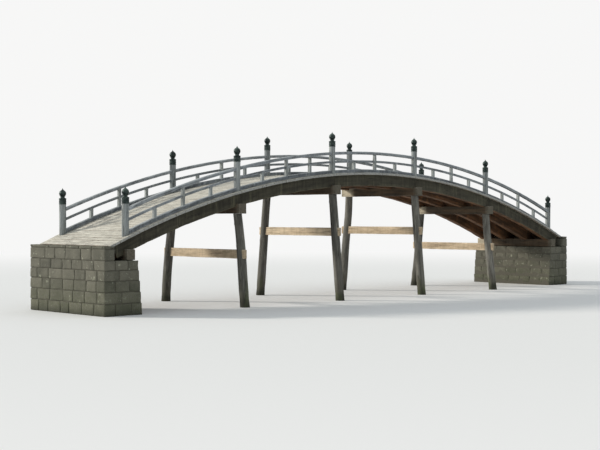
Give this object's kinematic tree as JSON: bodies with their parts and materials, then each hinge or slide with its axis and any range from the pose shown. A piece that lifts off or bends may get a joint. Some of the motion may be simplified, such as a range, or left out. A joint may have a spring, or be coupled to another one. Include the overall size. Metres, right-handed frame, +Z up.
{
  "type": "moon bridge",
  "caption": "Arched timber garden footbridge on pile bents, with a post and rail balustrade on each side and stone abutments.",
  "frame": {"origin": "water level under the middle of the bridge", "axes": "+X along the bridge towards its right end, -Y towards the near side, +Z up"},
  "size_m": [25.6, 4.6424, 6.2148],
  "materials": {
    "masonry": "weathered coursed stone",
    "beam_timber": "weathered sawn timber",
    "log_timber": "weathered peeled log",
    "girder_timber": "dark weathered timber",
    "deck_timber": "sun-bleached boards",
    "rail_timber": "silvery weathered timber",
    "post_timber": "silvery weathered round timber",
    "dark_bronze": "dark patinated bronze"
  },
  "bodies": {
    "root": {"abutment_left": "masonry", "abutment_right": "masonry", "end_sill_left": "beam_timber", "end_sill_right": "beam_timber", "pile_near_1": "log_timber", "pile_near_2": "log_timber", "pile_near_3": "log_timber", "pile_near_4": "log_timber", "pile_far_1": "log_timber", "pile_far_2": "log_timber", "pile_far_3": "log_timber", "pile_far_4": "log_timber", "cap_beam_1": "beam_timber", "cap_beam_2": "beam_timber", "cap_beam_3": "beam_timber", "cap_beam_4": "beam_timber", "tie_beam_1": "beam_timber", "tie_beam_2": "beam_timber", "tie_beam_3": "beam_timber", "tie_beam_4": "beam_timber", "girders_bay_1": "girder_timber", "girders_bay_2": "girder_timber", "girders_bay_3": "girder_timber", "girders_bay_4": "girder_timber", "girders_bay_5": "girder_timber", "deck_bay_1": "deck_timber", "deck_bay_2": "deck_timber", "deck_bay_3": "deck_timber", "deck_bay_4": "deck_timber", "deck_bay_5": "deck_timber", "near_bottom_rail": "rail_timber", "near_middle_rail": "rail_timber", "near_top_rail": "rail_timber", "near_struts": "rail_timber", "near_posts": "post_timber", "near_post_caps": "dark_bronze", "far_bottom_rail": "rail_timber", "far_middle_rail": "rail_timber", "far_top_rail": "rail_timber", "far_struts": "rail_timber", "far_posts": "post_timber", "far_post_caps": "dark_bronze"}
  },
  "joints": []
}
